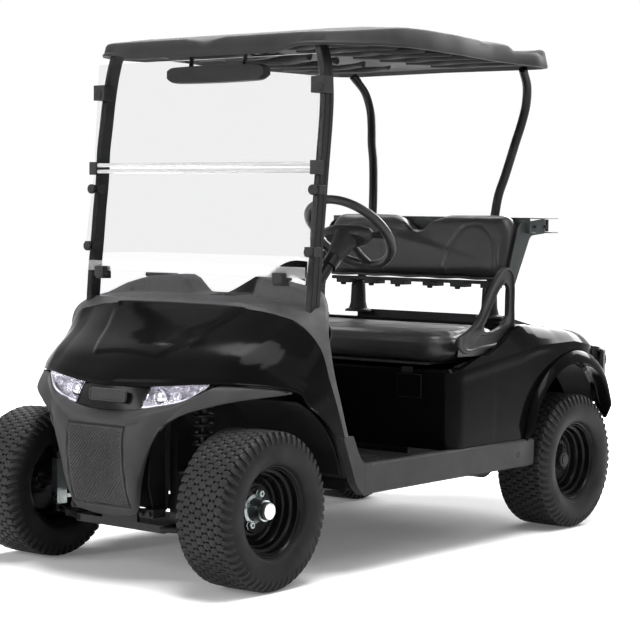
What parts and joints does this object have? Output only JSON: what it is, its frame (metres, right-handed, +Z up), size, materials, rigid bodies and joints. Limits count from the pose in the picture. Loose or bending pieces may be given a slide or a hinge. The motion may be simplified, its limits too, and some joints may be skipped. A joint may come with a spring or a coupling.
{
  "type": "golf cart",
  "caption": "Electric golf cart with a bench seat, open sides, canopy on bent struts, fold-down clear windshield, bag rack behind the seat and turf tyres.",
  "frame": {"origin": "on the ground under the centre of the overall box", "axes": "+Z up, -Y towards the front, +X towards the cart's left side"},
  "size_m": [1.206, 2.439, 1.7579],
  "materials": {
    "steel_black": "satin black powder coat",
    "body_gloss": "gloss black moulded body",
    "trim_satin": "satin dark grey moulding",
    "lamp_clear": "clear lens",
    "dash_grey": "grained grey moulding",
    "floor_mat": "ribbed black mat",
    "canopy_grey": "textured charcoal moulding",
    "seat_vinyl": "charcoal vinyl",
    "plastic_black": "matte black moulding",
    "screen_clear": "clear acrylic",
    "rack_steel": "grey green steel",
    "tyre_rubber": "black rubber",
    "rim_black": "gloss black steel",
    "zinc": "zinc plate",
    "battery_case": "black case",
    "mirror_back": "black shell"
  },
  "bodies": {
    "chassis": {"frame": "steel_black", "front_suspension": "steel_black", "front_springs": "steel_black", "front_cowl": "body_gloss", "front_bumper": "trim_satin", "grille_panel": "trim_satin", "headlamps": "lamp_clear", "lamp_bezel": "plastic_black", "dash": "dash_grey", "floor_pan": "floor_mat", "sills": "trim_satin", "rear_body": "body_gloss", "bag_well": "plastic_black", "rear_bumper": "trim_satin", "arch_trims": "body_gloss", "wheel_liners": "plastic_black", "seat_back": "seat_vinyl", "seat_back_frame": "steel_black", "hip_restraints": "plastic_black", "bag_rack": "rack_steel", "canopy": "canopy_grey", "front_struts": "steel_black", "rear_struts": "steel_black", "windshield": "screen_clear", "windshield_fittings": "plastic_black", "mirror": "mirror_back", "steering_column": "steel_black", "pedals": "plastic_black", "rear_axle": "steel_black", "rear_springs": "steel_black", "battery_pack": "battery_case"},
    "seat_lid": {"seat_cushion": "seat_vinyl", "seat_pan": "plastic_black"},
    "steering": {"steering_wheel": "plastic_black"},
    "tie_rods": {"tie_rods": "zinc"},
    "knuckle_left": {"knuckle_left": "zinc"},
    "knuckle_right": {"knuckle_right": "zinc"},
    "wheel_front_left": {"tyre_front_left": "tyre_rubber", "rim_front_left": "rim_black"},
    "wheel_front_right": {"tyre_front_right": "tyre_rubber", "rim_front_right": "rim_black"},
    "wheel_rear_left": {"tyre_rear_left": "tyre_rubber", "rim_rear_left": "rim_black"},
    "wheel_rear_right": {"tyre_rear_right": "tyre_rubber", "rim_rear_right": "rim_black"}
  },
  "joints": [
    {"name": "steer_left", "type": "hinge", "parent": "chassis", "child": "knuckle_left", "pos_m": [0.3845, -0.9745, 0.245], "axis": [0, 0, 1], "range_deg": [-32, 32]},
    {"name": "steer_right", "type": "hinge", "parent": "chassis", "child": "knuckle_right", "pos_m": [-0.3845, -0.9745, 0.245], "axis": [0, 0, 1], "range_deg": [-32.5, 32.5]},
    {"name": "steering_turn", "type": "hinge", "parent": "chassis", "child": "steering", "pos_m": [0.25, -0.24, 1.08], "axis": [0, 0.7071, 0.7071], "range_deg": [-385, 385]},
    {"name": "rack_slide", "type": "slide", "parent": "chassis", "child": "tie_rods", "axis": [1, 0, 0], "range_m": [-0.0375, 0.0375]},
    {"name": "seat_lift", "type": "hinge", "parent": "chassis", "child": "seat_lid", "pos_m": [0, 0.425, 0.69], "axis": [-1, 0, 0], "range_deg": [0, 45]},
    {"name": "spin_front_left", "type": "hinge", "parent": "knuckle_left", "child": "wheel_front_left", "pos_m": [0.4595, -0.9745, 0.245], "axis": [1, 0, 0], "continuous": true},
    {"name": "spin_front_right", "type": "hinge", "parent": "knuckle_right", "child": "wheel_front_right", "pos_m": [-0.4595, -0.9745, 0.245], "axis": [1, 0, 0], "continuous": true},
    {"name": "spin_rear_left", "type": "hinge", "parent": "chassis", "child": "wheel_rear_left", "pos_m": [0.4935, 0.6945, 0.245], "axis": [1, 0, 0], "continuous": true},
    {"name": "spin_rear_right", "type": "hinge", "parent": "chassis", "child": "wheel_rear_right", "pos_m": [-0.4935, 0.6945, 0.245], "axis": [1, 0, 0], "continuous": true}
  ],
  "couplings": [
    {"joint": "steer_right", "follows": "steer_left", "ratio": 1},
    {"joint": "steering_turn", "follows": "steer_left", "ratio": 12},
    {"joint": "rack_slide", "follows": "steer_left", "m_per_rad": -0.065}
  ]
}
